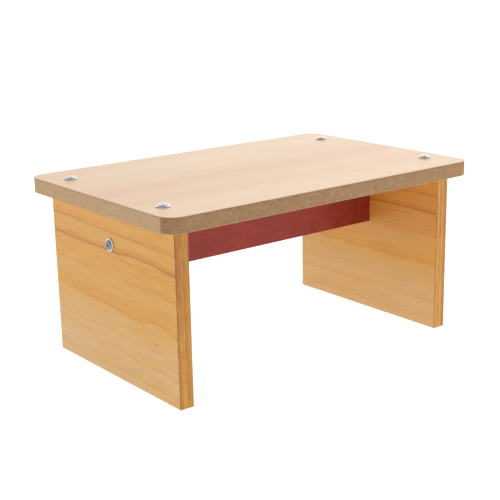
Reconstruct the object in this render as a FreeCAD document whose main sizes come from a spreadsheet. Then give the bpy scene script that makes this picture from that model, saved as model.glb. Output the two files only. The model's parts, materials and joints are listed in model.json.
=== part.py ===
import FreeCAD, Part
import os
from itertools import count
from math import cos, pi, sin

import Sketcher
from FreeCAD import Placement, Rotation, Vector

# A low fixed bench: a level top board on two upright end panels, with a stretcher board on edge
# under the top between them. Every board is an MDF core with thin laminate glued to both faces.
# Flange-head screws and wooden dowels hold the boards together.
#
# Millimetres. The origin is on the floor under the middle of the bench, +X runs along its length,
# +Y to its back and +Z up. "Left" is the -X end and "front" is the -Y side.

DIMENSIONS = {
    "top_length": 460,  # top board, along X
    "top_width": 300,  # top board, along Y
    "bench_height": 220,  # floor to the upper face of the top
    "corner_radius": 20,  # upright corners of the top board
    "board": 18,  # finished thickness of every board
    "skin": 0.5,  # laminate on a board's face
    "band": 1,  # edge band
    "band_rounding": 0.7,  # long outer edges of an edge band
    "arris": 0.2,  # bevel round the top's laminates
    "end_overhang": 20,  # top board past each panel's outer face
    "side_overhang": 20,  # top board past each panel's front and rear edge
    "stretcher_height": 80,  # stretcher board, down from the top board
    "screw_spacing": 196,  # between the two screws into one panel
    "side_screw_drop": 42,  # underside of the top to a side screw's axis
    "screw_length": 60,  # under the head, to the tip
    "screw_diameter": 6,  # over the thread's crests, and the plain shank
    "thread_root": 4.2,  # diameter between the thread's ridges
    "thread_start": 17,  # under the head, to the first ridge
    "thread_ridges": 13,  # number of ridges
    "thread_pitch": 2.8,  # from one ridge to the next
    "ridge_width": 1.1,  # foot of a ridge
    "point_length": 6,  # cone at the screw's tip
    "flange_diameter": 15.6,  # screw head's flange
    "flange_rim": 1.1,  # seat to the rim's upper edge
    "flange_undercut": 0.6,  # bevel under the rim
    "flange_root": 1.6,  # thickness of the flange where the crown starts
    "crown_diameter": 11.2,  # raised middle of the screw head
    "crown_height": 3.1,  # seat to the top of the crown
    "crown_rounding": 1.1,  # upper edge of the crown
    "recess_reach": 3.2,  # cross recess, centre to an arm's end, at the mouth
    "recess_arm": 1.5,  # width of a recess arm at the mouth
    "recess_depth": 3.4,  # cross recess
    "recess_floor_reach": 1.3,  # centre to an arm's end, at the floor
    "recess_floor_arm": 0.9,  # width of a recess arm at the floor
    "recess_bore": 2.8,  # round middle of the recess
    "screw_hole": 6.6,  # clearance hole for a screw
    "pilot_hole": 6.1,  # hole that the thread has cut for itself
    "pilot_extra": 2,  # pilot hole past the screw's tip
    "dowel_diameter": 8,  # fluted beech dowel
    "dowel_length": 35,  # fluted beech dowel
    "dowel_chamfer": 1,  # each end of a dowel
    "flute_radius": 0.6,  # flutes along a dowel
    "flute_count": 16,
    "dowel_hole": 8.1,  # drilled for a dowel
    "dowel_hole_extra": 0.5,  # glue space past each end of a dowel
    "dowel_in_face": 11,  # dowel inside the board whose face it enters
    "panel_dowel_spacing": 96,  # between the two dowels on one panel
    "stretcher_dowel_spacing": 50,  # between the two dowels on one stretcher end
}

# Sizes that follow from the sheet, as expressions.
CORE = "(sheet.board - 2 * sheet.skin)"
PANEL_HEIGHT = "(sheet.bench_height - sheet.board)"
PANEL_DEPTH = "(sheet.top_width - 2 * sheet.side_overhang)"
PANEL_CORE_DEPTH = f"({PANEL_DEPTH} - 2 * sheet.band)"
PANEL_X = "(sheet.top_length / 2 - sheet.end_overhang - sheet.board / 2)"
STRETCHER_LENGTH = f"(2 * {PANEL_X} - sheet.board)"
SKIN_OFFSET = f"(({CORE} + sheet.skin) / 2)"
PILOT_DEPTH = "(sheet.screw_length - sheet.board + sheet.pilot_extra)"
DOWEL_FACE_DEPTH = "(sheet.dowel_in_face + sheet.dowel_hole_extra - sheet.skin)"
DOWEL_EDGE_DEPTH = "(sheet.dowel_length - sheet.dowel_in_face + sheet.dowel_hole_extra)"
DOWEL_CENTRE_DEPTH = "(sheet.dowel_length / 2 - sheet.dowel_in_face)"
UPPER_DOWEL_Z = "(sheet.stretcher_dowel_spacing / 2 - sheet.side_screw_drop)"
LOWER_DOWEL_Z = "(-sheet.stretcher_dowel_spacing / 2 - sheet.side_screw_drop)"

TINY = 1e-6
FIRST_TURN = 16  # degrees, of the first screw's cross recess
TURN_BETWEEN_SCREWS = 37  # degrees, so that no two cross recesses line up
SIDES = (("left", -1), ("right", 1))
ENDS = (("front", -1), ("rear", 1))
CUTTING_FEATURES = ("PartDesign::Pocket", "PartDesign::SubtractiveLoft")

document = FreeCAD.newDocument("bench")
sheet = document.addObject("Spreadsheet::Sheet", "sheet")
for row, (alias, value) in enumerate(DIMENSIONS.items(), start=1):
    sheet.set(f"A{row}", str(value))
    sheet.setAlias(f"A{row}", alias)
document.recompute()


# ---------------------------------------------------------------- bodies, sketches and features

def new_body(label, place, rotation=Rotation()):
    """An empty body, whose origin is bound to the three expressions in place."""
    body = document.addObject("PartDesign::Body", label)
    body.Label = label
    body.Placement = Placement(Vector(), rotation)
    for axis, expression in zip("xyz", place):
        body.setExpression(f"Placement.Base.{axis}", expression)
    return body


def origin_feature(body, role):
    return next(item for item in body.Origin.OriginFeatures if item.Role == role)


def new_sketch(body, name, role, offset=None):
    """A sketch on one of the body's origin planes, or moved off it along the plane's normal."""
    sketch = body.newObject("Sketcher::SketchObject", name)
    sketch.AttachmentSupport = [(origin_feature(body, role), "")]
    sketch.MapMode = "FlatFace"
    if offset:
        sketch.setExpression("AttachmentOffset.Base.z", offset)
    return sketch


def bind(sketch, constraint, expression):
    """Adds a constraint and binds its value to the expression."""
    index = sketch.addConstraint(constraint)
    sketch.setExpression(f"Constraints[{index}]", expression)


def add_outline(sketch, corners):
    """A closed outline of straight lines, each corner bound to its two expressions."""
    turns = [2 * pi * i / len(corners) for i in range(len(corners))]
    start = [Vector(cos(turn), sin(turn), 0) for turn in turns]
    lines = [
        sketch.addGeometry(Part.LineSegment(here, ahead), False)
        for here, ahead in zip(start, start[1:] + start[:1])
    ]
    for i, (across, up) in enumerate(corners):
        sketch.addConstraint(Sketcher.Constraint("Coincident", lines[i - 1], 2, lines[i], 1))
        bind(sketch, Sketcher.Constraint("DistanceX", -1, 1, lines[i], 1, start[i].x), across)
        bind(sketch, Sketcher.Constraint("DistanceY", -1, 1, lines[i], 1, start[i].y), up)


def add_circle(sketch, across, up, diameter):
    circle = sketch.addGeometry(Part.Circle(Vector(1, 1, 0), Vector(0, 0, 1), 1), False)
    bind(sketch, Sketcher.Constraint("Diameter", circle, 2), diameter)
    bind(sketch, Sketcher.Constraint("DistanceX", -1, 1, circle, 3, 1), across)
    bind(sketch, Sketcher.Constraint("DistanceY", -1, 1, circle, 3, 1), up)


def pad_board(body, role, width, low, high, thickness):
    """A flat board, centred on the plane's first axis, from low to high along its second."""
    sketch = new_sketch(body, "outline", role)
    left, right = f"-{width} / 2", f"{width} / 2"
    add_outline(sketch, ((left, low), (right, low), (right, high), (left, high)))
    pad = body.newObject("PartDesign::Pad", "board")
    pad.Profile = sketch
    pad.setExpression("Length", thickness)
    pad.Midplane = True
    document.recompute()
    return pad


def drill(body, name, role, centres, diameter, depth=None, offset=None, backwards=False):
    """Round holes square to a plane: to a depth against its normal, or right through."""
    sketch = new_sketch(body, f"{name}_centres", role, offset)
    for across, up in centres:
        add_circle(sketch, across, up, diameter)
    pocket = body.newObject("PartDesign::Pocket", name)
    pocket.Profile = sketch
    if depth:
        pocket.setExpression("Length", depth)
        pocket.Reversed = backwards
    else:
        pocket.Type = "ThroughAll"
        pocket.Midplane = True
    document.recompute()
    return pocket


def edge_names(feature, wanted):
    """The names of the feature's edges for which wanted(edge) is true."""
    return [f"Edge{i}" for i, edge in enumerate(feature.Shape.Edges, start=1) if wanted(edge)]


def dress(body, kind, base, wanted, size_property, size):
    """A Fillet or Chamfer on some of the base feature's edges."""
    feature = body.newObject(f"PartDesign::{kind}", kind.lower())
    feature.Base = (base, edge_names(base, wanted))
    feature.setExpression(size_property, size)
    document.recompute()
    return feature


def is_parallel(direction):
    """A test for straight edges along the direction."""
    def test(edge):
        return edge.Curve.TypeId == "Part::GeomLine" and edge.tangentAt(0).cross(direction).Length < TINY
    return test


def lies_at_height(*heights):
    """A test for edges that lie flat at one of the heights, in the body's own frame."""
    def test(edge):
        box = edge.BoundBox
        return box.ZLength < TINY and any(abs(box.ZMin - height) < TINY for height in heights)
    return test


# ---------------------------------------------------------------------------------- the boards

def pairs(spacing):
    """The two places, half the spacing either side of the middle."""
    return f"-{spacing} / 2", f"{spacing} / 2"


def make_top_layer(label, z, thickness, dowel_depth=None, bevelled=0):
    """One layer of the top board, with its screw holes and, where it meets them, dowel holes."""
    body = new_body(label, ("0", "0", z))
    depth = "sheet.top_width"
    pad = pad_board(body, "XY_Plane", "sheet.top_length", f"-{depth} / 2", f"{depth} / 2", thickness)
    rounded = dress(body, "Fillet", pad, is_parallel(Vector(0, 0, 1)), "Radius", "sheet.corner_radius")
    if bevelled:
        rim = lies_at_height(bevelled * DIMENSIONS["skin"] / 2)
        dress(body, "Chamfer", rounded, rim, "Size", "sheet.arris")
    screws = [(f"{side} * {PANEL_X}", y) for _, side in SIDES for y in pairs("sheet.screw_spacing")]
    drill(body, "screw_holes", "XY_Plane", screws, "sheet.screw_hole")
    if dowel_depth:
        dowels = [
            (f"{side} * {PANEL_X}", y) for _, side in SIDES for y in pairs("sheet.panel_dowel_spacing")
        ]
        drill(body, "dowel_holes", "XY_Plane", dowels, "sheet.dowel_hole", dowel_depth,
              f"-{thickness} / 2", backwards=True)


def make_top():
    middle = "(sheet.bench_height - sheet.board / 2)"
    make_top_layer("top_board_core", middle, CORE, DOWEL_FACE_DEPTH)
    make_top_layer("top_face_laminate", f"{middle} + {SKIN_OFFSET}", "sheet.skin", bevelled=1)
    make_top_layer("top_balancing_laminate", f"{middle} - {SKIN_OFFSET}", "sheet.skin",
                   "sheet.skin", bevelled=-1)


def make_edge_band(label, place, wide_plane, width, low, high, outward):
    """A band over a board's edge, its two long outer edges rounded."""
    body = new_body(label, place)
    pad = pad_board(body, wide_plane, width, low, high, "sheet.band")
    longest = max(edge.Length for edge in pad.Shape.Edges)
    outermost = max(edge.BoundBox.Center.dot(outward) for edge in pad.Shape.Edges)

    def is_long_outer(edge):
        reach = edge.BoundBox.Center.dot(outward)
        return edge.Length > longest - TINY and reach > outermost - TINY

    dress(body, "Fillet", pad, is_long_outer, "Radius", "sheet.band_rounding")


def make_panel(name, side):
    """An end panel: core, two laminates and the bands on its front and rear edges."""
    place = (f"{side} * {PANEL_X}", "0", PANEL_HEIGHT)
    low = f"-{PANEL_HEIGHT}"
    screw = [("0", "-sheet.side_screw_drop")]
    stretcher_dowels = [("0", UPPER_DOWEL_Z), ("0", LOWER_DOWEL_Z)]

    core = new_body(f"{name}_panel_core", place)
    pad_board(core, "YZ_Plane", PANEL_CORE_DEPTH, low, "0", CORE)
    edge_screws = [("0", y) for y in pairs("sheet.screw_spacing")]
    edge_dowels = [("0", y) for y in pairs("sheet.panel_dowel_spacing")]
    drill(core, "top_pilot_holes", "XY_Plane", edge_screws, "sheet.pilot_hole", PILOT_DEPTH)
    drill(core, "top_dowel_holes", "XY_Plane", edge_dowels, "sheet.dowel_hole", DOWEL_EDGE_DEPTH)
    drill(core, "side_screw_hole", "YZ_Plane", screw, "sheet.screw_hole")
    drill(core, "stretcher_dowel_holes", "YZ_Plane", stretcher_dowels, "sheet.dowel_hole",
          DOWEL_FACE_DEPTH, f"{-side} * {CORE} / 2", backwards=side > 0)

    for face, outward in (("outer", side), ("inner", -side)):
        x = f"{place[0]} + {outward} * {SKIN_OFFSET}"
        laminate = new_body(f"{name}_panel_{face}_laminate", (x, "0", PANEL_HEIGHT))
        pad_board(laminate, "YZ_Plane", PANEL_CORE_DEPTH, low, "0", "sheet.skin")
        drill(laminate, "side_screw_hole", "YZ_Plane", screw, "sheet.screw_hole")
        if face == "inner":
            drill(laminate, "dowel_holes", "YZ_Plane", stretcher_dowels, "sheet.dowel_hole")

    for end, direction in ENDS:
        y = f"{direction} * ({PANEL_DEPTH} - sheet.band) / 2"
        make_edge_band(f"{name}_panel_{end}_edge_band", (place[0], y, PANEL_HEIGHT), "XZ_Plane",
                       "sheet.board", low, "0", Vector(0, direction, 0))


def make_stretcher():
    """The board between the panels: core, two laminates and the band on its lower edge."""
    place = ("0", "0", PANEL_HEIGHT)
    low = "-(sheet.stretcher_height - sheet.band)"
    core = new_body("stretcher_core", place)
    pad_board(core, "XZ_Plane", STRETCHER_LENGTH, low, "0", CORE)
    for name, side in SIDES:
        end = f"{side} * {STRETCHER_LENGTH} / 2"
        drill(core, f"{name}_pilot_hole", "YZ_Plane", [("0", "-sheet.side_screw_drop")],
              "sheet.pilot_hole", PILOT_DEPTH, end, backwards=side < 0)
        drill(core, f"{name}_dowel_holes", "YZ_Plane", [("0", UPPER_DOWEL_Z), ("0", LOWER_DOWEL_Z)],
              "sheet.dowel_hole", DOWEL_EDGE_DEPTH, end, backwards=side < 0)
    for end, direction in ENDS:
        laminate = new_body(f"stretcher_{end}_laminate",
                            ("0", f"{direction} * {SKIN_OFFSET}", PANEL_HEIGHT))
        pad_board(laminate, "XZ_Plane", STRETCHER_LENGTH, low, "0", "sheet.skin")
    band_z = f"{PANEL_HEIGHT} - sheet.stretcher_height + sheet.band / 2"
    make_edge_band("stretcher_bottom_edge_band", ("0", "0", band_z), "XY_Plane",
                   STRETCHER_LENGTH, "-sheet.board / 2", "sheet.board / 2", Vector(0, 0, -1))


# --------------------------------------------------------------------------- screws and dowels

def revolve(body, name, corners):
    """A solid of revolution about the body's Z axis, from an outline of (radius, height) corners."""
    sketch = new_sketch(body, f"{name}_profile", "XZ_Plane")
    add_outline(sketch, corners)
    feature = body.newObject("PartDesign::Revolution", name)
    feature.Profile = sketch
    feature.ReferenceAxis = (sketch, ["V_Axis"])
    feature.Angle = 360
    document.recompute()
    return feature


def cross_corners(reach, arm):
    """The twelve corners of a cross, from its reach and the width of its arms."""
    half = f"{arm} / 2"
    corners = []
    for turn in range(4):
        for across, up in ((reach, f"-{half}"), (reach, half), (half, half)):
            for _ in range(turn):
                across, up = f"-({up})", across
            corners.append((across, up))
    return corners


def make_screw(label, place, rotation=Rotation()):
    """A flange-head screw, its seat at the body's origin and its point along -Z."""
    body = new_body(label, place, rotation)
    shank = "sheet.screw_diameter / 2"
    root = "sheet.thread_root / 2"
    neck = "-sheet.thread_start + sheet.ridge_width"
    blank = revolve(body, "blank", (
        ("0", "sheet.crown_height"),
        ("sheet.crown_diameter / 2", "sheet.crown_height"),
        ("sheet.crown_diameter / 2", "sheet.flange_root"),
        ("sheet.flange_diameter / 2", "sheet.flange_rim"),
        ("sheet.flange_diameter / 2", "sheet.flange_undercut"),
        ("sheet.flange_diameter / 2 - sheet.flange_undercut", "0"),
        (shank, "0"),
        (shank, neck),
        (root, f"{neck} - sheet.screw_diameter / 2 + sheet.thread_root / 2"),
        (root, "-sheet.screw_length + sheet.point_length"),
        ("0", "-sheet.screw_length"),
    ))
    crown = lies_at_height(DIMENSIONS["crown_height"])
    dress(body, "Fillet", blank, crown, "Radius", "sheet.crown_rounding")

    foot = f"{root} - 0.1"
    ridge = revolve(body, "thread_ridge", (
        (foot, "-sheet.thread_start"),
        (foot, "-sheet.thread_start - sheet.ridge_width"),
        (shank, "-sheet.thread_start - 0.55 * sheet.ridge_width"),
        (shank, "-sheet.thread_start - 0.45 * sheet.ridge_width"),
    ))
    thread = body.newObject("PartDesign::LinearPattern", "thread")
    thread.Originals = [ridge]
    thread.Direction = (origin_feature(body, "Z_Axis"), [""])
    thread.Reversed = True
    thread.setExpression("Length", "(sheet.thread_ridges - 1) * sheet.thread_pitch")
    thread.setExpression("Occurrences", "sheet.thread_ridges")
    body.Tip = thread
    document.recompute()

    mouth = new_sketch(body, "recess_mouth", "XY_Plane", "sheet.crown_height")
    add_outline(mouth, cross_corners("sheet.recess_reach", "sheet.recess_arm"))
    floor = new_sketch(body, "recess_floor", "XY_Plane", "sheet.crown_height - sheet.recess_depth")
    add_outline(floor, cross_corners("sheet.recess_floor_reach", "sheet.recess_floor_arm"))
    recess = body.newObject("PartDesign::SubtractiveLoft", "cross_recess")
    recess.Profile = mouth
    recess.Sections = [floor]
    recess.Ruled = True
    document.recompute()
    drill(body, "recess_bore", "XY_Plane", [("0", "0")], "sheet.recess_bore",
          "sheet.recess_depth", "sheet.crown_height")


def make_dowel(label, place, rotation=Rotation()):
    """A fluted dowel, centred on the body's origin, along its Z axis."""
    body = new_body(label, place, rotation)
    section = new_sketch(body, "section", "XY_Plane")
    add_circle(section, "0", "0", "sheet.dowel_diameter")
    rod = body.newObject("PartDesign::Pad", "rod")
    rod.Profile = section
    rod.setExpression("Length", "sheet.dowel_length")
    rod.Midplane = True
    document.recompute()
    half_length = DIMENSIONS["dowel_length"] / 2
    ends = lies_at_height(-half_length, half_length)
    dress(body, "Chamfer", rod, ends, "Size", "sheet.dowel_chamfer")
    rim = [("sheet.dowel_diameter / 2", "0")]
    flute = drill(body, "flute", "XY_Plane", rim, "2 * sheet.flute_radius")
    flutes = body.newObject("PartDesign::PolarPattern", "flutes")
    flutes.Originals = [flute]
    flutes.Axis = (origin_feature(body, "Z_Axis"), [""])
    flutes.Angle = 360
    flutes.setExpression("Occurrences", "sheet.flute_count")
    body.Tip = flutes
    document.recompute()


def make_fasteners():
    turns = count(FIRST_TURN, TURN_BETWEEN_SCREWS)
    for name, side in SIDES:
        outward = Rotation(Vector(0, 1, 0), side * 90)
        x = f"{side} * {PANEL_X}"
        for (end, _), y in zip(ENDS, pairs("sheet.screw_spacing")):
            turned = Rotation(Vector(0, 0, 1), next(turns))
            make_screw(f"top_screw_{name}_{end}", (x, y, "sheet.bench_height"), turned)
        for (end, _), y in zip(ENDS, pairs("sheet.panel_dowel_spacing")):
            make_dowel(f"{name}_panel_dowel_{end}", (x, y, f"{PANEL_HEIGHT} - {DOWEL_CENTRE_DEPTH}"))

        seat = f"{side} * ({PANEL_X} + sheet.board / 2)"
        turned = outward * Rotation(Vector(0, 0, 1), next(turns))
        make_screw(f"side_screw_{name}", (seat, "0", f"{PANEL_HEIGHT} - sheet.side_screw_drop"), turned)
        middle = f"{side} * ({STRETCHER_LENGTH} / 2 - {DOWEL_CENTRE_DEPTH})"
        for level, z in (("upper", UPPER_DOWEL_Z), ("lower", LOWER_DOWEL_Z)):
            make_dowel(f"stretcher_dowel_{name}_{level}", (middle, "0", f"{PANEL_HEIGHT} + {z}"), outward)


# ------------------------------------------------------------------------- checks and the files

def check_document():
    """Stops if a feature failed, if a cut removed nothing, or if a piece isn't one sound solid."""
    for item in document.Objects:
        if {"Invalid", "Error"} & set(item.State):
            raise RuntimeError(f"{item.Name} failed: {item.State}")
        if item.TypeId in CUTTING_FEATURES and item.Shape.Volume > item.BaseFeature.Shape.Volume - 0.1:
            raise RuntimeError(f"{item.Name} cuts nothing")
    for body in document.findObjects("PartDesign::Body"):
        shape = body.Shape
        if shape.isNull() or not shape.isValid() or len(shape.Solids) != 1:
            raise RuntimeError(f"{body.Label} isn't one valid solid")


def write_parts():
    os.makedirs("parts", exist_ok=True)
    for body in document.findObjects("PartDesign::Body"):
        body.Shape.exportStep(f"parts/{body.Label}.step")
        print(f"{body.Label}: {body.Shape.Volume / 1000:.2f} cm3")


make_top()
for panel_name, panel_side in SIDES:
    make_panel(panel_name, panel_side)
make_stretcher()
make_fasteners()
document.recompute()
check_document()
write_parts()
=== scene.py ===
"""Looks, light and camera of the low bench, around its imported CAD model. Lengths are in millimetres
where a name or comment says so, and in metres elsewhere."""

import json
import math

import bpy
from mathutils import Matrix, Vector

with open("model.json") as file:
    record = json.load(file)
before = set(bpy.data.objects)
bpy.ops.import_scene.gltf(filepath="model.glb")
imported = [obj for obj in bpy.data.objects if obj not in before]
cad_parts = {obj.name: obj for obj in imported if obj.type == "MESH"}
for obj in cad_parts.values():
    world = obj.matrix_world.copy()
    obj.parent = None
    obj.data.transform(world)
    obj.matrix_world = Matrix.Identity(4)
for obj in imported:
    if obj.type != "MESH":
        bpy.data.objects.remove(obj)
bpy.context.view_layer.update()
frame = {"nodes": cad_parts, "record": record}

MM = 0.001

# Places on the bench, in mm.
TOP_END = 230
TOP_FRONT = -150
TOP_FACE = 220
PANEL_OUTER = 210
PANEL_REAR = 130


# ---------------------------------------------------------------- shading helpers

def srgb(red, green, blue):
    """A colour given as 0 to 255 screen values, as the linear colour that a shader wants."""
    def linear(value):
        value /= 255
        return value / 12.92 if value <= 0.04045 else ((value + 0.055) / 1.055) ** 2.4

    return (linear(red), linear(green), linear(blue), 1)


def add_node(tree, kind, inputs=None, **properties):
    """Adds a node, sets its properties, and feeds each input from a socket or a plain value."""
    made = tree.nodes.new(kind)
    for name, value in properties.items():
        setattr(made, name, value)
    for socket, value in (inputs or {}).items():
        if isinstance(value, bpy.types.NodeSocket):
            tree.links.new(value, made.inputs[socket])
        else:
            made.inputs[socket].default_value = value
    return made


class Surface:
    """A material with a Principled shader, and short calls for the nodes in front of it."""

    def __init__(self, name, **settings):
        """Each setting is a socket of the shader, with _ for the spaces in its name."""
        self.material = bpy.data.materials.new(name)
        self.material.use_nodes = True
        self.tree = self.material.node_tree
        self.shader = self.tree.nodes["Principled BSDF"]
        for socket, value in settings.items():
            self.shader.inputs[socket.replace("_", " ")].default_value = value
        self.place = self.node("ShaderNodeTexCoord").outputs["Object"]

    def node(self, kind, inputs=None, **properties):
        return add_node(self.tree, kind, inputs, **properties)

    def math(self, operation, first, second=0.0):
        return self.node("ShaderNodeMath", {0: first, 1: second}, operation=operation).outputs[0]

    def total(self, *terms):
        """The sum of several values."""
        result = terms[0]
        for term in terms[1:]:
            result = self.math("ADD", result, term)
        return result

    def axis(self, letter):
        """The X, Y or Z coordinate in millimetres."""
        split = self.node("ShaderNodeSeparateXYZ", {0: self.place})
        return self.math("MULTIPLY", split.outputs[letter], 1 / MM)

    def noise(self, size, detail=2.0, roughness=0.5, distortion=0.0, seed=0.0):
        """Noise with grains of the given size in millimetres along X, Y and Z, from 0 to 1."""
        stretched = self.node("ShaderNodeVectorMath",
                              {0: self.place, 1: [1 / (length * MM) for length in size]},
                              operation="MULTIPLY").outputs[0]
        shifted = self.node("ShaderNodeVectorMath", {0: stretched, 1: (seed, seed * 1.7, seed * 0.6)},
                            operation="ADD").outputs[0]
        return self.node("ShaderNodeTexNoise",
                         {"Vector": shifted, "Scale": 1.0, "Detail": detail, "Roughness": roughness,
                          "Distortion": distortion}).outputs["Fac"]

    def swing(self, value, amount):
        """A 0 to 1 value turned into one that swings from -amount to +amount."""
        return self.math("MULTIPLY", self.math("SUBTRACT", value, 0.5), 2 * amount)

    def fade(self, value, start, end, low=0.0, high=1.0):
        """Goes smoothly from low to high while value goes from start to end."""
        return self.node("ShaderNodeMapRange",
                         {"Value": value, "From Min": start, "From Max": end, "To Min": low,
                          "To Max": high}, interpolation_type="SMOOTHSTEP").outputs[0]

    def hill(self, value, middle, half_width, height):
        """A smooth hill of that height where value is near the middle, and 0 half a width away."""
        distance = self.math("ABSOLUTE", self.math("SUBTRACT", value, middle))
        return self.fade(distance, 0.0, half_width, height, 0.0)

    def mound(self, first, first_middle, first_half, second, second_middle, second_half, height):
        """A smooth oval hill over two coordinates."""
        squares = []
        for value, middle, half in ((first, first_middle, first_half),
                                    (second, second_middle, second_half)):
            away = self.math("DIVIDE", self.math("SUBTRACT", value, middle), half)
            squares.append(self.math("MULTIPLY", away, away))
        return self.fade(self.total(*squares), 0.0, 1.0, height, 0.0)

    def ramp(self, value, stops):
        """A colour for each value, from (position, colour) stops."""
        made = self.node("ShaderNodeValToRGB", {0: value})
        elements = made.color_ramp.elements
        elements.remove(elements[1])
        elements[0].position, elements[0].color = stops[0]
        for position, colour in stops[1:]:
            elements.new(position).color = colour
        return made.outputs["Color"]

    def mix(self, factor, first, second, mode="MIX"):
        """Mixes two colours."""
        made = self.node("ShaderNodeMix", {0: factor, 6: first, 7: second}, data_type="RGBA",
                         blend_type=mode)
        return made.outputs[2]

    def shade(self, factor, colour):
        """Multiplies a colour by a value."""
        return self.mix(1.0, colour, factor, "MULTIPLY")

    def bump(self, height, strength, depth):
        """Relief from a 0 to 1 height, depth millimetres high."""
        made = self.node("ShaderNodeBump", {"Strength": strength, "Distance": depth * MM,
                                            "Height": height})
        self.feed("Normal", made.outputs[0])

    def feed(self, socket, value):
        self.tree.links.new(value, self.shader.inputs[socket])


# ---------------------------------------------------------------- materials

# Growth rings of the pine decor: the height in mm of the dark line that ends a ring below, how deep
# the colour is on that line, how deep it starts again just under it, and how soft the line is in mm.
PINE_RINGS = (
    (10, 0.26, 0.04, 1.2),
    (34, 0.34, 0.04, 1.0),
    (52, 0.24, 0.06, 1.2),
    (69, 0.28, 0.18, 1.0),
    (84, 0.72, 0.32, 1.6),
    (122, 0.60, 0.33, 1.8),
    (152, 1.15, 0.46, 0.8),
    (163, 0.52, 0.34, 0.8),
    (174, 0.86, 0.34, 0.8),
    (190, 0.56, 0.32, 1.0),
)
DECOR_HEIGHT = 210


def gray(level):
    return (level, level, level, 1)


def pine_laminate():
    """Golden pine decor: level growth rings that deepen downwards to a line, over fine fibres. The
    rings sink towards the front and bend round a small knot on the left panel, and run straighter
    on the right one."""
    look = Surface("pine_laminate", Roughness=0.42, IOR=1.5)
    height = look.axis("Z")
    from_rear = look.math("SUBTRACT", PANEL_REAR, look.axis("Y"))
    leftness = look.fade(look.axis("X"), -120, 120, 1.0, 0.12)

    steepness = look.total(0.012, look.hill(height, 82, 52, 0.040), look.hill(height, 174, 18, 0.012))
    sinking = look.math("MULTIPLY", look.math("SUBTRACT", from_rear, 150), steepness)
    past_screw = look.mound(from_rear, 193, 50, height, 153, 22, -3.2)
    round_knot = look.mound(from_rear, 226, 34, height, 78, 40, -7.0)
    bend = look.math("MULTIPLY", look.total(sinking, past_screw, round_knot), leftness)
    ripple = look.swing(look.noise((90, 46, 14), seed=8.3), 1.6)
    torn = look.swing(look.noise((16, 13, 1.5), roughness=0.6, seed=3.6), 1.0)
    fraying = look.math("MULTIPLY", torn, look.total(0.6, look.hill(height, 84, 24, 4.0)))
    level = look.total(height, bend, ripple, fraying)

    stops = [(0.0, gray(0.04))]
    for line, deepest, below, softness in PINE_RINGS:
        stops.append(((line - softness) / DECOR_HEIGHT, gray(below)))
        stops.append((line / DECOR_HEIGHT, gray(deepest)))
        stops.append(((line + 1.8 * softness) / DECOR_HEIGHT, gray(0.4 * deepest + 0.6 * below + 0.04)))
    stops.append((1.0, gray(0.45)))
    rings = look.ramp(look.math("DIVIDE", level, DECOR_HEIGHT), stops)

    fibre = look.swing(look.noise((90, 120, 1.0), detail=3.0, roughness=0.6, seed=1.7), 0.30)
    late_wood = look.noise((60, 60, 1.5), roughness=0.6, seed=4.2)
    threads = look.math("MULTIPLY", look.fade(late_wood, 0.56, 0.66, 0.0, 0.2),
                        look.fade(height, 90, 165, 0.5, 1.0))
    cloud = look.swing(look.noise((140, 100, 24), seed=5.9), 0.16)
    knot = look.math("MULTIPLY", look.mound(from_rear, 218, 3.5, height, 64, 1.2, 0.8), leftness)
    colour = look.ramp(look.total(rings, fibre, threads, cloud, knot), (
        (0.0, srgb(214, 173, 118)),
        (0.22, srgb(213, 165, 92)),
        (0.45, srgb(215, 156, 59)),
        (0.70, srgb(206, 141, 40)),
        (1.0, srgb(184, 110, 16)),
    ))
    rightness = look.fade(leftness, 0.3, 0.7, 1.0, 0.0)
    # Painted light: the upper part of the right panel is tinted red, standing in for red light bounced
    # from the stretcher.
    painted_red_bounce = look.math("MULTIPLY", look.fade(height, 78, 150, 0.0, 0.2), rightness)
    grain = look.noise((110, 50, 2.4), roughness=0.55, distortion=0.5, seed=7.1)
    streaks = look.ramp(grain, (
        (0.36, (1.05, 1.06, 1.08, 1)),
        (0.64, (0.95, 0.92, 0.88, 1)),
    ))
    strength = look.math("MULTIPLY", look.fade(height, 45, 95, 1.0, 0.6),
                         look.fade(leftness, 0.3, 0.7, 0.65, 1.0))
    # Painted light: the foot of the right panel is painted paler, standing in for light bounced up from
    # the floor.
    painted_floor_bounce = look.math("MULTIPLY", look.fade(height, 20, 75, 0.05, 0.0), rightness)
    streaked = look.shade(look.math("ADD", 1.0, painted_floor_bounce),
                          look.mix(strength, colour, streaks, "MULTIPLY"))
    look.feed("Base Color", look.mix(painted_red_bounce, streaked, srgb(192, 75, 62)))
    pores = look.noise((1.2, 9, 0.35), roughness=0.6, seed=2.2)
    look.bump(pores, 0.12, 0.08)
    look.feed("Roughness", look.fade(pores, 0.3, 0.7, 0.38, 0.5))
    return look.material


def pine_edge_band():
    """Pine decor band: fine upright hairs and dashes, and two darker lines along its outer side."""
    look = Surface("pine_edge_band", Roughness=0.42, IOR=1.5)
    stripes = look.noise((2.6, 60, 260), detail=1.5, roughness=0.55, seed=4.4)
    hairs = look.noise((0.7, 60, 13), detail=3.0, roughness=0.6, distortion=0.35, seed=6.8)
    outward = look.math("ABSOLUTE", look.axis("X"))
    outer_line = look.total(look.hill(outward, PANEL_OUTER - 2.6, 1.1, -0.3),
                            look.hill(outward, PANEL_OUTER - 0.2, 0.7, -0.4))
    # Painted shade: the band's tone deepens towards the top, standing in for the shade under the top
    # board.
    painted_shade_under_top = look.fade(look.axis("Z"), 30, 195, 0.02, -0.13)
    tone = look.total(look.fade(stripes, 0.25, 0.75, 0.25, 0.75), look.swing(hairs, 0.72), outer_line,
                      painted_shade_under_top)
    colour = look.ramp(tone, (
        (0.0, srgb(146, 82, 12)),
        (0.45, srgb(184, 123, 33)),
        (1.0, srgb(207, 155, 64)),
    ))
    look.feed("Base Color", colour)
    look.bump(hairs, 0.1, 0.06)
    return look.material


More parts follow.
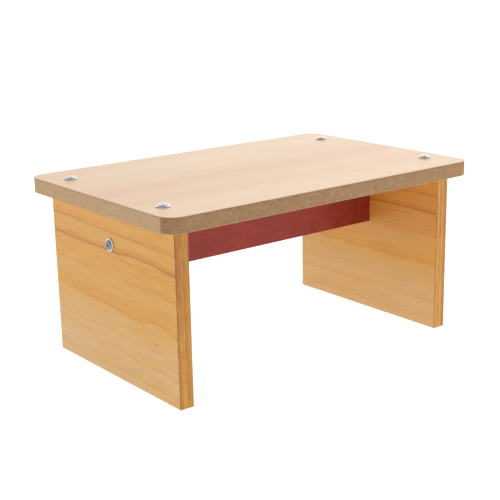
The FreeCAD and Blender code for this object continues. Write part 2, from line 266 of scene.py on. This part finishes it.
def mdf():
    """Raw fibreboard: a fine speckle of fibre bundles, darker near the upper face, with one dark
    inclusion in the front edge of the top. The two end faces of the top are painted paler, as painted
    light for the stronger light that falls on them."""
    look = Surface("mdf", Roughness=0.85, IOR=1.45)
    specks = look.noise((0.9, 0.9, 0.7), detail=3.0, roughness=0.7, seed=1.3)
    blotches = look.noise((9, 9, 4), seed=7.7)
    tone = look.total(specks, look.swing(blotches, 0.08))
    moulded = look.ramp(tone, (
        (0.28, srgb(112, 82, 55)),
        (0.50, srgb(151, 117, 82)),
        (0.72, srgb(184, 148, 109)),
    ))
    # Painted light: the end faces of the top get a paler copy of the board's colour, standing in for the
    # stronger light on them.
    painted_lit_ends = look.ramp(tone, (
        (0.28, srgb(152, 119, 85)),
        (0.50, srgb(189, 155, 116)),
        (0.72, srgb(214, 182, 143)),
    ))
    along, height = look.axis("X"), look.axis("Z")
    painted_light_at_ends = look.fade(look.math("ABSOLUTE", along), TOP_END - 1.0, TOP_END - 0.1)
    dense = look.fade(height, TOP_FACE - 4.5, TOP_FACE - 0.5, 1.0, 0.9)
    in_front = look.fade(look.axis("Y"), TOP_FRONT + 1, TOP_FRONT + 10, 1.0, 0.0)
    inclusion = look.math("MULTIPLY", look.mound(along, 62, 1.9, height, 209.5, 1.5, -0.65), in_front)
    colour = look.shade(look.total(dense, inclusion), look.mix(painted_light_at_ends, moulded, painted_lit_ends))
    look.feed("Base Color", colour)
    look.bump(specks, 0.35, 0.15)
    return look.material


CUT_LAMINATE = srgb(174, 139, 103)


def brown_edges(look, face):
    """The colour of a laminate's face, with the brown core of the sheet on its cut and bevelled edges."""
    facing = look.node("ShaderNodeSeparateXYZ", {0: look.node("ShaderNodeNewGeometry").outputs["Normal"]})
    flat = look.fade(look.math("ABSOLUTE", facing.outputs["Z"]), 0.8, 0.95)
    return look.mix(flat, CUT_LAMINATE, face)


def beech_laminate():
    """Pale beech decor: faint streaks along the board, tiny darker flecks, a wide rosier band a
    little in front of the middle, and one small brown stain at the rim of the right end."""
    look = Surface("beech_laminate", Roughness=0.38, IOR=1.5)
    along, across = look.axis("X"), look.axis("Y")
    bands = look.noise((700, 55, 90), detail=1.0, seed=2.6)
    streaks = look.noise((160, 3.2, 40), detail=3.0, roughness=0.6, seed=9.1)
    flecks = look.noise((6, 0.7, 10), detail=1.0, seed=4.9)
    rosy = look.hill(across, -26, 90, -0.16)
    tone = look.total(0.52, look.swing(bands, 0.20), look.swing(streaks, 0.18), rosy)
    colour = look.ramp(tone, (
        (0.26, srgb(229, 174, 127)),
        (0.50, srgb(236, 195, 149)),
        (0.70, srgb(242, 208, 168)),
    ))
    fleck = look.fade(flecks, 0.62, 0.74, 1.0, 0.95)
    stain = look.mound(along, TOP_END - 1, 3.5, across, 46, 5, -0.6)
    look.feed("Base Color", brown_edges(look, look.shade(look.math("ADD", fleck, stain), colour)))
    look.bump(streaks, 0.05, 0.05)
    return look.material


def balancing_laminate():
    """Plain pale backing sheet, faintly mottled."""
    look = Surface("balancing_laminate", Roughness=0.6, IOR=1.5)
    mottle = look.noise((14, 14, 14), detail=3.0, roughness=0.6, seed=3.3)
    colour = look.ramp(mottle, (
        (0.35, srgb(218, 208, 192)),
        (0.65, srgb(226, 217, 203)),
    ))
    look.feed("Base Color", brown_edges(look, colour))
    look.bump(look.noise((0.6, 0.6, 0.6), detail=1.0), 0.05, 0.05)
    return look.material


def red_surface(name):
    """Brick red melamine with a fine matt texture."""
    look = Surface(name, Roughness=0.5, IOR=1.5, Specular_IOR_Level=0.38)
    grain = look.noise((2.0, 2.0, 2.0), roughness=0.6, seed=5.2)
    mottle = look.noise((26, 12, 12), seed=8.8)
    tone = look.total(look.math("MULTIPLY", grain, 0.7), look.math("MULTIPLY", mottle, 0.3))
    look.feed("Base Color", look.ramp(tone, (
        (0.36, srgb(118, 26, 14)),
        (0.64, srgb(150, 43, 24)),
    )))
    look.bump(grain, 0.25, 0.1)
    look.feed("Roughness", look.fade(grain, 0.3, 0.7, 0.46, 0.58))
    return look.material


def zinc_steel():
    """Bright zinc plate with slight stains and fine scuffs. The crowns of the side screws are painted
    darker, as painted shade for their dimmer reflections.
    """
    look = Surface("zinc_steel", Metallic=1.0, Roughness=0.22)
    stain = look.noise((4, 4, 4), seed=1.9)
    scuff = look.noise((0.5, 0.5, 0.5), detail=3.0, roughness=0.6, seed=6.1)
    plated = look.ramp(stain, (
        (0.35, srgb(190, 194, 202)),
        (0.65, srgb(208, 210, 212)),
    ))
    # Painted shade: the crowns of the side screws get a darker copy of the plate, standing in for the
    # dimmer reflections they show.
    painted_dark_crown = look.fade(look.math("ABSOLUTE", look.axis("X")), PANEL_OUTER + 1.2, PANEL_OUTER + 1.9)
    look.feed("Base Color", look.mix(painted_dark_crown, plated, srgb(134, 139, 151)))
    look.feed("Roughness", look.fade(scuff, 0.3, 0.7, 0.15, 0.28))
    look.bump(scuff, 0.08, 0.03)
    return look.material


def dowel_beech():
    """Raw turned beech with short pores along the dowel."""
    look = Surface("dowel_beech", Roughness=0.7, IOR=1.45)
    fibre = look.noise((6, 0.8, 6), detail=3.0, roughness=0.6, seed=2.9)
    look.feed("Base Color", look.ramp(fibre, (
        (0.3, srgb(196, 158, 118)),
        (0.7, srgb(216, 182, 142)),
    )))
    look.bump(fibre, 0.2, 0.1)
    return look.material


FINISHES = {
    "mdf": mdf(),
    "beech_laminate": beech_laminate(),
    "balancing_laminate": balancing_laminate(),
    "pine_laminate": pine_laminate(),
    "pine_edge_band": pine_edge_band(),
    "red_laminate": red_surface("red_laminate"),
    "red_edge_band": red_surface("red_edge_band"),
    "zinc_steel": zinc_steel(),
    "dowel_beech": dowel_beech(),
}

for part in frame["record"]["subparts"]:
    piece = frame["nodes"][part["node"]]
    piece.data.materials.clear()
    piece.data.materials.append(FINISHES[part["material_slot"]])


# ---------------------------------------------------------------- floor, light, camera

# The floor: its size, how far it lies under the feet, and how bright it is by itself.
FLOOR_HALF_WIDTH = 60.0
FLOOR_DROP = 0.0002
FLOOR_GLOW = 0.87

# The brightness of the surroundings, and where they differ from it: the direction of each lobe, how
# narrow it is, and the change at its middle. The first is a bright backdrop across the room from the
# camera, and the second is the darker side of the room around the camera.
WORLD_LEVEL = 0.71
WORLD_LOBES = (
    ((0.70, 0.68, 0.25), 9, 1.35),
    ((-0.62, -0.78, 0.1), 8, -0.45),
)

LIGHT_TARGET = Vector((0, 0, 0.15))

# The camera: its place, how it is turned, and its lens and sensor in mm.
CAMERA_PLACE = Vector((-0.8264, -1.0389, 0.4811))
CAMERA_YAW, CAMERA_PITCH, CAMERA_ROLL = math.radians(38.23), math.radians(-15.42), math.radians(-1.08)
CAMERA_LENS = 78.71
CAMERA_SENSOR = 36.0


def make_floor():
    """A wide white light table, a hair under the bench's feet."""
    far = FLOOR_HALF_WIDTH
    corners = [(x, y, -FLOOR_DROP) for x, y in ((-far, -far), (far, -far), (far, far), (-far, far))]
    mesh = bpy.data.meshes.new("floor")
    mesh.from_pydata(corners, [], [(0, 1, 2, 3)])
    floor = bpy.data.objects.new("floor", mesh)
    bpy.context.scene.collection.objects.link(floor)
    pale = bpy.data.materials.new("floor_pale")
    pale.use_nodes = True
    shader = pale.node_tree.nodes["Principled BSDF"]
    shader.inputs["Base Color"].default_value = (0.5, 0.5, 0.5, 1)
    shader.inputs["Roughness"].default_value = 1.0
    shader.inputs["Emission Color"].default_value = (1, 1, 1, 1)
    shader.inputs["Emission Strength"].default_value = FLOOR_GLOW
    shader.inputs["Specular IOR Level"].default_value = 0.0
    mesh.materials.append(pale)


def make_world():
    """White surroundings of the level above, with its lobes."""
    world = bpy.data.worlds.new("studio")
    bpy.context.scene.world = world
    world.use_nodes = True
    tree = world.node_tree
    direction = add_node(tree, "ShaderNodeTexCoord").outputs["Generated"]
    brightness = WORLD_LEVEL
    for towards, narrowness, change in WORLD_LOBES:
        turned = add_node(tree, "ShaderNodeVectorMath", {0: direction, 1: Vector(towards).normalized()},
                          operation="DOT_PRODUCT").outputs["Value"]
        ahead = add_node(tree, "ShaderNodeMath", {0: turned, 1: 0}, operation="MAXIMUM").outputs[0]
        lobe = add_node(tree, "ShaderNodeMath", {0: ahead, 1: narrowness}, operation="POWER").outputs[0]
        brightness = add_node(tree, "ShaderNodeMath", {0: lobe, 1: change, 2: brightness},
                              operation="MULTIPLY_ADD").outputs[0]
    background = tree.nodes["Background"]
    background.inputs["Color"].default_value = (1, 1, 1, 1)
    tree.links.new(brightness, background.inputs["Strength"])


def add_soft_light(name, position, size, energy):
    """A round soft light, turned towards the bench."""
    light = bpy.data.lights.new(name, "AREA")
    light.shape = "DISK"
    light.size = size
    light.energy = energy
    lamp = bpy.data.objects.new(name, light)
    bpy.context.scene.collection.objects.link(lamp)
    lamp.location = position
    lamp.rotation_euler = (LIGHT_TARGET - Vector(position)).to_track_quat("-Z", "Y").to_euler()


def make_camera():
    """The studio view: front left, a little above the top."""
    forward = Vector((math.sin(CAMERA_YAW) * math.cos(CAMERA_PITCH),
                      math.cos(CAMERA_YAW) * math.cos(CAMERA_PITCH), math.sin(CAMERA_PITCH)))
    level = Vector((math.cos(CAMERA_YAW), -math.sin(CAMERA_YAW), 0))
    upward = level.cross(forward)
    right = math.cos(CAMERA_ROLL) * level + math.sin(CAMERA_ROLL) * upward
    up = -math.sin(CAMERA_ROLL) * level + math.cos(CAMERA_ROLL) * upward
    data = bpy.data.cameras.new("camera")
    data.sensor_width = CAMERA_SENSOR
    data.lens = CAMERA_LENS
    data.clip_start = 0.05
    data.clip_end = 200.0
    camera = bpy.data.objects.new("camera", data)
    turn = Matrix((right, up, -forward)).transposed().to_4x4()
    camera.matrix_world = Matrix.Translation(CAMERA_PLACE) @ turn
    bpy.context.scene.collection.objects.link(camera)
    bpy.context.scene.camera = camera


make_floor()
make_world()
add_soft_light("soft_left", (-1.2, 0.05, 0.4), size=0.28, energy=0.28)
add_soft_light("soft_right", (0.66, -0.9, 0.42), size=0.5, energy=2.9)
make_camera()
bpy.context.scene.view_settings.view_transform = "Standard"
